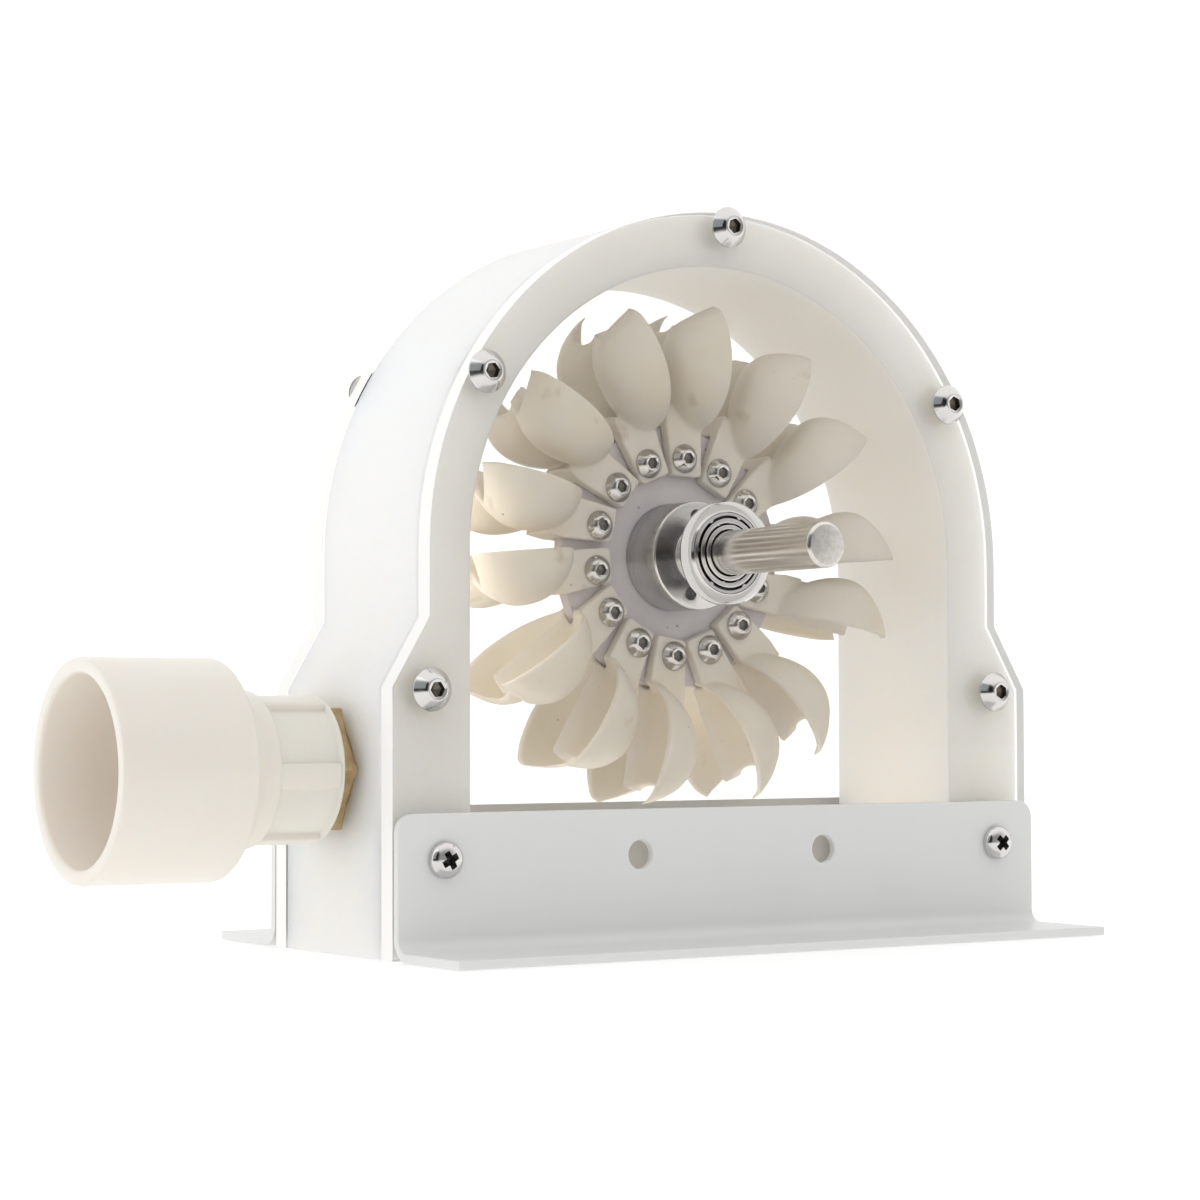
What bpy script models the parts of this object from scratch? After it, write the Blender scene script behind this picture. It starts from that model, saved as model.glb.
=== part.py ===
"""Table-top Pelton micro-turbine: arch housing, clear side panels, brackets, inlet and a fourteen-bucket runner.

Metres, +Z up. Front panel faces -Y, jet comes from -X. The design frame has X = 0 on the housing's
middle, Y = 0 on the front panel's outer face and Z = 0 on the ground; one empty moves it so that the
origin is under the middle of the whole object's box.
"""

import math

import bmesh
import bpy
from mathutils import Matrix, Vector

# Housing: a thick moulded arch between two clear panels
PANEL_THICKNESS = 0.005
BODY_DEPTH = 0.043
ARCH_CENTRE_Z = 0.0865
ARCH_OUTER_RADIUS = 0.0775
ARCH_INNER_RADIUS = 0.0655
BASE_HALF_WIDTH = 0.0865
SHOULDER_TOP_Z = 0.072
SHOULDER_BOTTOM_Z = 0.057

# Shaft, bearings and hub; the runner and its jet sit half a millimetre behind the housing's middle
RUNNER_Y = 0.027
SHAFT_Z = 0.0874
SHAFT_RADIUS = 0.005
SHAFT_FRONT = 0.0357
SHAFT_BACK = 0.003
SHAFT_CHAMFER = 0.0006
BEARING_RADIUS = 0.011
BEARING_WIDTH = 0.006
BEARING_INNER_RADIUS = 0.0066
SHIELD_RECESS = 0.0004
SHIELD_OUTER_RADIUS = 0.0094
HUB_RADIUS = 0.0124
HUB_FRONT_Y = 0.014
HUB_NECK_RADIUS = 0.0066
HUB_CHAMFER = 0.0005
HUB_HOLE_RADIUS = 0.0015
HUB_HOLE_CIRCLE = 0.00905
HUB_HOLE_DEPTH = 0.004
HUB_HOLE_ANGLES = (math.radians(-5), math.radians(-165))
DISC_RADIUS = 0.030
DISC_THICKNESS = 0.003

# Buckets: u runs out along the radius, v towards the open side of the cups
FIRST_BUCKET_ANGLE = math.radians(-21.8)
SCREW_U = 0.0228
# Degrees each bucket leans about its screw, clockwise seen from the front, bucket_01 first
BUCKET_LEANS = (0.5, -3.8, 0.0, -2.0, 5.0, -6.3, 7.4, -1.2, 7.0, 0.8, -1.5, 4.3, -4.4, -6.8)
LUG_WIDTH = 0.010
LUG_INNER_U = 0.0187
LUG_CORNER_U = 0.0194
LUG_CORNER_CUT = 0.00035
LUG_OPEN_V = 0.0050
LUG_OPEN_END_U = 0.0298
LUG_BACK_V = -0.0030
LUG_BACK_RIM_V = -0.0049
LUG_BACK_RIM_U = 0.031
LUG_OUTER_U = 0.036
LUG_EDGE_CHAMFER = 0.0004
SLOT_CLEARANCE = 0.001
CUP_ROOT_U = 0.0288
CUP_WIDEST_U = 0.0445
CUP_DEEPEST_U = 0.0485
CUP_TIP_U = 0.0582
CUP_SPLITTER_U = 0.0547
CUP_RIM_V = 0.0055
CUP_HALF_WIDTH = 0.017
CUP_DEPTH = 0.0123
CUP_WALL = 0.0015
CUP_ROOT_SIZE = 0.001
CUP_ROOT_HOLLOW = 0.0005
CUP_VALLEY_SHARE = 0.62
CUP_END_SWEEP = 0.0032
# Reach of the two ellipses beyond the widest and the deepest place, past the tip
CUP_OUTLINE_REACH = 0.0192
CUP_DEPTH_REACH = 0.0138
CUP_CORNER_LENGTH = 0.0014
CUP_CORNER_WIDTH = 0.0013
CUP_STATIONS = 11
CUP_TIP_SHARES = (0.935, 0.975, 1.0)
CUP_ARC_STEPS = 7

# Inlet on the left wall: brass nozzle and plastic adapter
INLET_Z = 0.0398
INLET_REACH = 0.1452
SOCKET_RADIUS = 0.0235
SOCKET_BORE = 0.020
SOCKET_DEPTH = 0.026
SOCKET_END_X = -0.1148
SOCKET_ROUNDING = 0.0012
SHOULDER_END_X = -0.1112
FLANGE_RADIUS = 0.0168
FLANGE_END_X = -0.1065
COLLAR_RADIUS = 0.0147
COLLAR_LIP_RADIUS = 0.0160
COLLAR_LIP_X = -0.0923
COLLAR_END_X = -0.0915
COLLAR_BORE = 0.0108
COLLAR_RIB_COUNT = 5
COLLAR_RIB_WIDTH = 0.0053
COLLAR_RIB_RADIUS = 0.0161
COLLAR_RIB_TURN = math.radians(4.7)
HEX_RADIUS = 0.015
HEX_START_X = -0.0878
STEM_RADIUS = 0.0104
NOZZLE_BORE = 0.007
NOZZLE_MOUTH = 0.0045
NOZZLE_TIP_X = -0.0580
NOZZLE_TIP_RADIUS = 0.0075
NOZZLE_TIP_LENGTH = 0.006
NOZZLE_MOUTH_LENGTH = 0.004
NOZZLE_TAPER_LENGTH = 0.0075
STEM_OUTER_X = -0.1040

# Sheet-steel feet
BRACKET_THICKNESS = 0.002
BRACKET_HEIGHT = 0.0307
BRACKET_FLANGE = 0.027
BRACKET_HALF_WIDTH = 0.0865
BRACKET_BEND_RADIUS = 0.003
BRACKET_CORNER_RADIUS = 0.004
BRACKET_HOLE_RADIUS = 0.00315
BRACKET_HOLE_SPACING = 0.050
BRACKET_HOLE_Z = 0.0207
BRACKET_HOLE_SHIFT = -0.0009

GAP = 0.0003
BOX_LENGTH_Y = PANEL_THICKNESS * 2 + BODY_DEPTH
MIDDLE_Y = BOX_LENGTH_Y / 2
BACK_Y = BOX_LENGTH_Y
CUTTER_REACH = 0.1
SHAFT_FRONT_Y = -SHAFT_FRONT
SHAFT_BACK_Y = BACK_Y + SHAFT_BACK
WALL_X = -BASE_HALF_WIDTH
FRAME_SHIFT = Vector(((INLET_REACH - BASE_HALF_WIDTH) / 2,
                      (SHAFT_FRONT - BACK_Y - GAP - BRACKET_FLANGE) / 2,
                      0.0))


def clear_scene():
    for item in list(bpy.data.objects):
        bpy.data.objects.remove(item, do_unlink=True)


def make_collection(name):
    collection = bpy.data.collections.new(name)
    bpy.context.scene.collection.children.link(collection)
    return collection


def make_material(name, colour, roughness, metallic=0.0, alpha=1.0):
    material = bpy.data.materials.new(name)
    material.use_nodes = True
    shader = material.node_tree.nodes["Principled BSDF"]
    shader.inputs["Base Color"].default_value = (*colour, 1.0)
    shader.inputs["Roughness"].default_value = roughness
    shader.inputs["Metallic"].default_value = metallic
    shader.inputs["Alpha"].default_value = alpha
    return material


def add_object(name, data, material, parent, collection):
    item = bpy.data.objects.new(name, data)
    item.data.materials.append(material)
    item.parent = parent
    collection.objects.link(item)
    return item


def shade_round(mesh, angle=math.radians(40)):
    mesh.shade_smooth()
    mesh.set_sharp_from_angle(angle=angle)


def arc(centre, radius, start, end, steps):
    """Points on an arc, angles in radians, both ends included."""
    points = []
    for index in range(steps + 1):
        angle = start + (end - start) * index / steps
        points.append((centre[0] + radius * math.cos(angle), centre[1] + radius * math.sin(angle)))
    return points


def circle(centre, radius, steps):
    return arc(centre, radius, 0.0, 2 * math.pi, steps)[:-1]


def flat_mesh(name, loops, thickness):
    """A plate from a filled 2D curve: outline in local X and Y, thickness centred on local Z."""
    curve = bpy.data.curves.new(name, "CURVE")
    curve.dimensions = "2D"
    curve.fill_mode = "BOTH"
    curve.extrude = thickness / 2
    for loop in loops:
        spline = curve.splines.new("POLY")
        spline.points.add(len(loop) - 1)
        for point, (x, y) in zip(spline.points, loop):
            point.co = (x, y, 0.0, 1.0)
        spline.use_cyclic_u = True
    holder = bpy.data.objects.new(name, curve)
    bpy.context.scene.collection.objects.link(holder)
    bpy.context.view_layer.update()
    evaluated = holder.evaluated_get(bpy.context.evaluated_depsgraph_get())
    mesh = bpy.data.meshes.new_from_object(evaluated)
    weld(mesh)
    bpy.data.objects.remove(holder, do_unlink=True)
    return mesh


def weld(mesh):
    bm = bmesh.new()
    bm.from_mesh(mesh)
    bmesh.ops.remove_doubles(bm, verts=bm.verts, dist=1e-6)
    bmesh.ops.recalc_face_normals(bm, faces=bm.faces)
    bm.to_mesh(mesh)
    bm.free()


def turned_object(name, profile, steps, material, parent, collection):
    """A closed profile of (radius, height) points, down its outer side, turned about local Z."""
    mesh = bpy.data.meshes.new(name)
    points = [(radius, 0.0, height) for radius, height in profile]
    edges = [(index, (index + 1) % len(points)) for index in range(len(points))]
    mesh.from_pydata(points, edges, [])
    item = add_object(name, mesh, material, parent, collection)
    screw = item.modifiers.new("Turn", "SCREW")
    screw.axis = "Z"
    screw.angle = 2 * math.pi
    screw.steps = steps
    screw.render_steps = steps
    screw.use_merge_vertices = True
    screw.merge_threshold = 0.00001
    screw.use_smooth_shade = True
    return item


def cylinder_cutter(name, radius, length, steps, cutters, parent):
    mesh = bpy.data.meshes.new(name)
    bm = bmesh.new()
    bmesh.ops.create_cone(bm, cap_ends=True, segments=steps, radius1=radius, radius2=radius, depth=length)
    bm.to_mesh(mesh)
    bm.free()
    return place_cutter(name, mesh, cutters, parent)


def place_cutter(name, mesh, cutters, parent):
    cutter = bpy.data.objects.new(name, mesh)
    cutter.parent = parent
    cutter.hide_render = True
    cutter.display_type = "WIRE"
    cutters.objects.link(cutter)
    return cutter


def cut(item, cutter, operation="DIFFERENCE"):
    modifier = item.modifiers.new(cutter.name, "BOOLEAN")
    modifier.operation = operation
    modifier.solver = "EXACT"
    modifier.object = cutter


def housing_outline():
    """Outer edge of band and panels, in X and Z: base, shoulders, straight sides and arch."""
    right = [(BASE_HALF_WIDTH, 0.0),
             (BASE_HALF_WIDTH, SHOULDER_BOTTOM_Z),
             (ARCH_OUTER_RADIUS, SHOULDER_TOP_Z)]
    top = arc((0.0, ARCH_CENTRE_Z), ARCH_OUTER_RADIUS, 0.0, math.pi, 40)
    left = [(-x, z) for x, z in reversed(right)]
    return right + top + left


def band_outline():
    """The arch band: outer edge, then back along the chamber's inner wall."""
    inner = arc((0.0, ARCH_CENTRE_Z), ARCH_INNER_RADIUS, math.pi, 0.0, 36)
    return housing_outline() + [(-ARCH_INNER_RADIUS, 0.0)] + inner + [(ARCH_INNER_RADIUS, 0.0)]


def stand_upright(item, y):
    """Turns a plate drawn in X and Y so that it stands in X and Z at the given Y."""
    item.rotation_euler = (math.pi / 2, 0.0, 0.0)
    item.location = (0.0, y, 0.0)


def lay_along_x(item, x, y, z):
    """Local Z of a turned piece points to -X."""
    item.rotation_euler = (0.0, -math.pi / 2, 0.0)
    item.location = (x, y, z)


def build_housing(root, parts, cutters, looks):
    band_mesh = flat_mesh("housing_band", [band_outline()], BODY_DEPTH - 2 * GAP)
    band = add_object("housing_band", band_mesh, looks["milky"], root, parts)
    stand_upright(band, MIDDLE_Y)
    bore = cylinder_cutter("nozzle_bore", STEM_RADIUS + GAP, CUTTER_REACH, 40, cutters, root)
    lay_along_x(bore, WALL_X, RUNNER_Y, INLET_Z)
    cut(band, bore)
    seat = circle((0.0, SHAFT_Z), BEARING_RADIUS + GAP, 40)
    for name, y in (("front_panel", PANEL_THICKNESS / 2), ("back_panel", BACK_Y - PANEL_THICKNESS / 2)):
        mesh = flat_mesh(name, [housing_outline(), seat], PANEL_THICKNESS)
        panel = add_object(name, mesh, looks["clear"], root, parts)
        stand_upright(panel, y)


def bracket_mesh(name):
    """L section drawn in Y and Z for the front foot, run along X, with rounded top corners."""
    inner = BRACKET_BEND_RADIUS
    outer = BRACKET_BEND_RADIUS + BRACKET_THICKNESS
    bend = (-outer, outer)
    section = [(-BRACKET_FLANGE, 0.0)] + arc(bend, outer, -math.pi / 2, 0.0, 6)
    section += [(0.0, BRACKET_HEIGHT), (-BRACKET_THICKNESS, BRACKET_HEIGHT)]
    section += arc(bend, inner, 0.0, -math.pi / 2, 6)
    section += [(-BRACKET_FLANGE, BRACKET_THICKNESS)]
    mesh = flat_mesh(name, [section], BRACKET_HALF_WIDTH * 2)
    bm = bmesh.new()
    bm.from_mesh(mesh)
    corners = [edge for edge in bm.edges
               if all(abs(vert.co.y - BRACKET_HEIGHT) < 1e-6 for vert in edge.verts)
               and abs(edge.verts[0].co.z - edge.verts[1].co.z) < 1e-6]
    bmesh.ops.bevel(bm, geom=corners, offset=BRACKET_CORNER_RADIUS, segments=6, profile=0.5, affect="EDGES")
    bm.to_mesh(mesh)
    bm.free()
    return mesh


def build_brackets(root, parts, cutters, looks):
    holes = []
    for side in (-1, 1):
        name = "bracket_hole_left" if side < 0 else "bracket_hole_right"
        hole = cylinder_cutter(name, BRACKET_HOLE_RADIUS, CUTTER_REACH * 3, 24, cutters, root)
        hole.rotation_euler = (math.pi / 2, 0.0, 0.0)
        hole.location = (BRACKET_HOLE_SHIFT + side * BRACKET_HOLE_SPACING / 2, MIDDLE_Y, BRACKET_HOLE_Z)
        holes.append(hole)
    for name, side in (("front_bracket", 1), ("back_bracket", -1)):
        bracket = add_object(name, bracket_mesh(name), looks["painted"], root, parts)
        # drawn X is depth, drawn Y is height, drawn Z is the width
        depth = Vector((0.0, side, 0.0))
        height = Vector((0.0, 0.0, 1.0))
        width = depth.cross(height)
        turn = Matrix((depth, height, width)).transposed().to_4x4()
        face_y = -GAP if side > 0 else BACK_Y + GAP
        bracket.matrix_local = Matrix.Translation((0.0, face_y, 0.0)) @ turn
        for hole in holes:
            cut(bracket, hole)


def build_inlet(root, parts, cutters, looks):
    """Brass nozzle through the left wall and the plastic adapter screwed on it."""
    # heights run from the wall's outer face towards -X
    def height(x):
        return WALL_X - x

    hex_start = height(HEX_START_X)
    hex_end = height(COLLAR_END_X) - GAP
    stem_end = height(STEM_OUTER_X)
    tip = height(NOZZLE_TIP_X)
    throat = tip + NOZZLE_MOUTH_LENGTH
    profile = [(NOZZLE_BORE, stem_end), (STEM_RADIUS, stem_end), (STEM_RADIUS, tip + NOZZLE_TIP_LENGTH),
               (NOZZLE_TIP_RADIUS, tip), (NOZZLE_MOUTH, tip),
               (NOZZLE_MOUTH, throat), (NOZZLE_BORE, throat + NOZZLE_TAPER_LENGTH)]
    nozzle = turned_object("inlet_nozzle", profile, 32, looks["brass"], root, parts)
    lay_along_x(nozzle, WALL_X, RUNNER_Y, INLET_Z)
    flats = bpy.data.meshes.new("nozzle_hexagon")
    bm = bmesh.new()
    # a flat faces the front
    bmesh.ops.create_cone(bm, cap_ends=True, segments=6, radius1=HEX_RADIUS, radius2=HEX_RADIUS,
                          depth=hex_end - hex_start, matrix=Matrix.Rotation(math.pi / 6, 4, "Z"))
    bm.to_mesh(flats)
    bm.free()
    hexagon = place_cutter("nozzle_hexagon", flats, cutters, root)
    lay_along_x(hexagon, WALL_X - (hex_start + hex_end) / 2, RUNNER_Y, INLET_Z)
    through = cylinder_cutter("nozzle_through", (NOZZLE_BORE + STEM_RADIUS) / 2, CUTTER_REACH, 32, cutters, root)
    lay_along_x(through, WALL_X, RUNNER_Y, INLET_Z)
    cut(hexagon, through)
    cut(nozzle, hexagon, "UNION")

    mouth = height(-INLET_REACH)
    flange_end = height(FLANGE_END_X)
    lip = height(COLLAR_LIP_X)
    collar_end = height(COLLAR_END_X)
    floor = mouth - SOCKET_DEPTH
    round_centre = (SOCKET_RADIUS - SOCKET_ROUNDING, height(SOCKET_END_X) + SOCKET_ROUNDING)
    profile = [(SOCKET_BORE, mouth), (SOCKET_RADIUS, mouth)]
    profile += arc(round_centre, SOCKET_ROUNDING, 0.0, -math.pi / 2, 3)
    profile += [(FLANGE_RADIUS, height(SHOULDER_END_X)), (FLANGE_RADIUS, flange_end), (COLLAR_RADIUS, flange_end),
                (COLLAR_RADIUS, lip), (COLLAR_LIP_RADIUS, lip), (COLLAR_LIP_RADIUS, collar_end),
                (COLLAR_BORE, collar_end), (COLLAR_BORE, floor), (SOCKET_BORE, floor)]
    adapter = turned_object("inlet_adapter", profile, 48, looks["plastic"], root, parts)
    lay_along_x(adapter, WALL_X, RUNNER_Y, INLET_Z)
    rib_mesh = bpy.data.meshes.new("collar_ribs")
    bm = bmesh.new()
    # each rib starts inside the collar and ends inside the flange and the lip
    rib_bottom = (COLLAR_RADIUS + COLLAR_BORE) / 2
    rib_height = COLLAR_RIB_RADIUS - rib_bottom
    rib_length = flange_end - lip + 2 * GAP
    for index in range(COLLAR_RIB_COUNT):
        turn = Matrix.Rotation(2 * math.pi * index / COLLAR_RIB_COUNT - math.pi / 2 - COLLAR_RIB_TURN, 4, "Z")
        middle = Matrix.Translation((rib_bottom + rib_height / 2, 0.0, (flange_end + lip) / 2))
        size = Matrix.Diagonal((rib_height, COLLAR_RIB_WIDTH, rib_length, 1.0))
        bmesh.ops.create_cube(bm, size=1.0, matrix=turn @ middle @ size)
    bm.to_mesh(rib_mesh)
    bm.free()
    ribs = place_cutter("collar_ribs", rib_mesh, cutters, root)
    lay_along_x(ribs, WALL_X, RUNNER_Y, INLET_Z)
    cut(adapter, ribs, "UNION")


def bearing_outer_profile():
    """Outer ring with both shields, half of the bearing's section, heights about its middle."""
    half = BEARING_WIDTH / 2
    bore = BEARING_INNER_RADIUS + GAP
    return [(BEARING_RADIUS, half), (BEARING_RADIUS, -half),
            (SHIELD_OUTER_RADIUS, -half), (SHIELD_OUTER_RADIUS, -half + SHIELD_RECESS),
            (bore, -half + SHIELD_RECESS), (bore, half - SHIELD_RECESS),
            (SHIELD_OUTER_RADIUS, half - SHIELD_RECESS), (SHIELD_OUTER_RADIUS, half)]


def bearing_inner_profile():
    half = BEARING_WIDTH / 2
    bore = SHAFT_RADIUS + GAP
    return [(BEARING_INNER_RADIUS, half), (BEARING_INNER_RADIUS, -half), (bore, -half), (bore, half)]


def build_bearings(root, runner, parts, looks):
    """Each bearing's outer ring sits flush in its panel; its inner ring turns with the shaft."""
    for place, y in (("front", BEARING_WIDTH / 2), ("back", BACK_Y - BEARING_WIDTH / 2)):
        outer = turned_object(place + "_bearing_outer_ring", bearing_outer_profile(), 40,
                              looks["steel"], root, parts)
        outer.rotation_euler = (math.pi / 2, 0.0, 0.0)
        outer.location = (0.0, y, SHAFT_Z)
        inner = turned_object(place + "_bearing_inner_ring", bearing_inner_profile(), 32,
                              looks["steel"], runner, parts)
        inner.rotation_euler = (math.pi / 2, 0.0, 0.0)
        inner.location = (0.0, y - RUNNER_Y, 0.0)


def build_shaft(runner, parts, looks):
    """Plain ground shaft with chamfered ends, along Y through the runner's axis."""
    mesh = bpy.data.meshes.new("shaft")
    bm = bmesh.new()
    bmesh.ops.create_cone(bm, cap_ends=True, segments=32, radius1=SHAFT_RADIUS, radius2=SHAFT_RADIUS,
                          depth=SHAFT_BACK_Y - SHAFT_FRONT_Y)
    ends = [edge for edge in bm.edges if abs(edge.verts[0].co.z - edge.verts[1].co.z) < 1e-6]
    bmesh.ops.bevel(bm, geom=ends, offset=SHAFT_CHAMFER, segments=1, affect="EDGES")
    bm.to_mesh(mesh)
    bm.free()
    shade_round(mesh)
    shaft = add_object("shaft", mesh, looks["steel"], runner, parts)
    shaft.rotation_euler = (math.pi / 2, 0.0, 0.0)
    shaft.location = (0.0, (SHAFT_FRONT_Y + SHAFT_BACK_Y) / 2 - RUNNER_Y, 0.0)


def build_hub(runner, parts, cutters, looks):
    """Turned aluminium hub in front of the disc: a drum with two small holes and a collar at the bearing."""
    # heights run from the disc's front face towards the viewer
    disc_front = RUNNER_Y - DISC_THICKNESS / 2
    face = disc_front - HUB_FRONT_Y
    neck = disc_front - BEARING_WIDTH - GAP
    bore = SHAFT_RADIUS + GAP
    profile = [(bore, neck), (HUB_NECK_RADIUS, neck), (HUB_NECK_RADIUS, face),
               (HUB_RADIUS - HUB_CHAMFER, face), (HUB_RADIUS, face - HUB_CHAMFER),
               (HUB_RADIUS, GAP), (bore, GAP)]
    hub = turned_object("hub", profile, 48, looks["aluminium"], runner, parts)
    hub.rotation_euler = (math.pi / 2, 0.0, 0.0)
    hub.location = (0.0, disc_front - RUNNER_Y, 0.0)
    for index, angle in enumerate(HUB_HOLE_ANGLES):
        hole = cylinder_cutter("hub_hole_%d" % (index + 1), HUB_HOLE_RADIUS, HUB_HOLE_DEPTH * 2, 16, cutters, runner)
        hole.rotation_euler = (math.pi / 2, 0.0, 0.0)
        hole.location = (HUB_HOLE_CIRCLE * math.sin(angle), HUB_FRONT_Y - RUNNER_Y,
                         HUB_HOLE_CIRCLE * math.cos(angle))
        cut(hub, hole)


def build_disc(runner, parts, looks):
    rim = circle((0.0, 0.0), DISC_RADIUS, 56)
    bore = circle((0.0, 0.0), SHAFT_RADIUS + GAP, 32)
    mesh = flat_mesh("runner_disc", [rim, bore], DISC_THICKNESS)
    disc = add_object("runner_disc", mesh, looks["disc"], runner, parts)
    disc.rotation_euler = (math.pi / 2, 0.0, 0.0)


def ellipse(offset, reach):
    """Height of an ellipse one high at an offset from its middle, 0 past its reach."""
    return math.sqrt(max(0.0, 1 - (offset / reach) ** 2))


def cup_half_width(rim_u):
    """Outer half width of the cup: blunt ellipse at the root, longer one cut off at the tip."""
    reach = CUP_WIDEST_U - CUP_ROOT_U if rim_u < CUP_WIDEST_U else CUP_OUTLINE_REACH
    half_width = CUP_HALF_WIDTH * ellipse(rim_u - CUP_WIDEST_U, reach)
    corner_u = CUP_TIP_U - CUP_CORNER_LENGTH
    if rim_u > corner_u:
        half_width -= CUP_CORNER_WIDTH * (1 - ellipse(rim_u - corner_u, CUP_CORNER_LENGTH))
    return max(half_width, CUP_ROOT_SIZE)


def cup_depth(rim_u):
    """Depth of the cup's outside below its rim."""
    if rim_u < CUP_DEEPEST_U:
        depth = CUP_DEPTH * ellipse(rim_u - CUP_DEEPEST_U, CUP_DEEPEST_U - CUP_ROOT_U) ** 1.2
    else:
        depth = CUP_DEPTH * ellipse(rim_u - CUP_DEEPEST_U, CUP_DEPTH_REACH)
    return max(depth, CUP_ROOT_SIZE)


def cup_section(share):
    """Inner and outer curves of half a cup at one station, share 0 at the root and 1 at the tip."""
    rim_u = CUP_ROOT_U + (CUP_TIP_U - CUP_ROOT_U) * share
    ridge_u = CUP_ROOT_U + (CUP_SPLITTER_U - CUP_ROOT_U) * share
    half_width = cup_half_width(rim_u)
    depth = cup_depth(rim_u)
    inner_half_width = max(half_width - CUP_WALL, CUP_ROOT_HOLLOW)
    inner_depth = max(depth - CUP_WALL, CUP_ROOT_HOLLOW)
    inner = []
    outer = []
    for index in range(CUP_ARC_STEPS + 1):
        angle = math.pi * index / CUP_ARC_STEPS
        across = (1 - math.cos(angle)) / 2
        u = ridge_u + (rim_u - ridge_u) * across - CUP_END_SWEEP * share ** 2 * math.sin(angle)
        inner.append(Vector((CUP_RIM_V - inner_depth * math.sin(angle), inner_half_width * across, u)))
        if angle < math.pi / 2:
            fall = depth * (CUP_VALLEY_SHARE + (1 - CUP_VALLEY_SHARE) * math.sin(angle) ** 1.6)
        else:
            fall = depth * math.sin(angle)
        outer.append(Vector((CUP_RIM_V - fall, half_width * across, u)))
    return inner, outer


def cup_shares():
    """Stations along the cup, closer together at the root and at the rounded tip."""
    shares = []
    for station in range(CUP_STATIONS + 1 - len(CUP_TIP_SHARES)):
        step = station / CUP_STATIONS
        shares.append((step + 1 - math.cos(step * math.pi / 2)) / 2)
    return shares + list(CUP_TIP_SHARES)


def cup_mesh():
    """Half of the double cup as a loft, open at the splitter's middle plane."""
    bm = bmesh.new()
    rows = []
    for share in cup_shares():
        inner, outer = cup_section(share)
        loop = [bm.verts.new(point) for point in inner + outer[::-1]]
        rows.append(loop)
    count = len(rows[0])
    for lower, upper in zip(rows, rows[1:]):
        for index in range(count - 1):
            bm.faces.new((lower[index], lower[index + 1], upper[index + 1], upper[index]))
    for row in (rows[0], rows[-1]):
        for index in range(CUP_ARC_STEPS):
            last = count - 1 - index
            bm.faces.new((row[index], row[index + 1], row[last - 1], row[last]))
    bmesh.ops.recalc_face_normals(bm, faces=bm.faces)
    mesh = bpy.data.meshes.new("cup_half")
    bm.to_mesh(mesh)
    bm.free()
    return mesh


def lug_mesh():
    """The forked root: a tapered block with chamfered faces that straddles the disc."""
    outline = [(LUG_OPEN_V - LUG_CORNER_CUT, LUG_INNER_U), (LUG_OPEN_V, LUG_CORNER_U),
               (LUG_OPEN_V, LUG_OPEN_END_U), (LUG_BACK_RIM_V, LUG_OUTER_U), (LUG_BACK_RIM_V, LUG_BACK_RIM_U),
               (LUG_BACK_V, LUG_CORNER_U), (LUG_BACK_V + LUG_CORNER_CUT, LUG_INNER_U)]
    mesh = flat_mesh("bucket_lug", [outline], LUG_WIDTH)
    bm = bmesh.new()
    bm.from_mesh(mesh)
    rims = [edge for edge in bm.edges
            if abs(abs(edge.verts[0].co.z) - LUG_WIDTH / 2) < 1e-6
            and abs(edge.verts[0].co.z - edge.verts[1].co.z) < 1e-6
            and edge.calc_face_angle() > 1]
    bmesh.ops.bevel(bm, geom=rims, offset=LUG_EDGE_CHAMFER, segments=1, affect="EDGES")
    bm.to_mesh(mesh)
    bm.free()
    return mesh


def bucket_mesh(cutters):
    """One bucket: mirrored cup, joined to its forked lug, at the top of the wheel."""
    block = bpy.data.objects.new("bucket_block", lug_mesh())
    block.rotation_euler = (math.pi / 2, 0.0, 0.0)
    cutters.objects.link(block)
    slot = cylinder_cutter("lug_slot", DISC_RADIUS + SLOT_CLEARANCE, DISC_THICKNESS + 2 * GAP, 96, cutters, None)
    slot.rotation_euler = (math.pi / 2, 0.0, 0.0)
    cup = bpy.data.objects.new("bucket_cup", cup_mesh())
    cutters.objects.link(cup)
    mirror = cup.modifiers.new("Both halves", "MIRROR")
    mirror.use_axis = (False, True, False)
    mirror.merge_threshold = 0.00001
    cut(cup, block, "UNION")
    cut(cup, slot)
    bpy.context.view_layer.update()
    evaluated = cup.evaluated_get(bpy.context.evaluated_depsgraph_get())
    mesh = bpy.data.meshes.new_from_object(evaluated)
    mesh.name = "bucket"
    for item in (cup, block, slot):
        bpy.data.objects.remove(item, do_unlink=True)
    weld(mesh)
    shade_round(mesh)
    return mesh


def build_buckets(runner, parts, cutters, looks):
    mesh = bucket_mesh(cutters)
    to_screw = Matrix.Translation((0.0, 0.0, SCREW_U))
    for index, lean in enumerate(BUCKET_LEANS):
        leaning = mesh.copy()
        leaning.transform(to_screw @ Matrix.Rotation(math.radians(lean), 4, "Y") @ to_screw.inverted())
        bucket = add_object("bucket_%02d" % (index + 1), leaning, looks["resin"], runner, parts)
        bucket.rotation_euler = (0.0, FIRST_BUCKET_ANGLE + 2 * math.pi * index / len(BUCKET_LEANS), 0.0)


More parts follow.
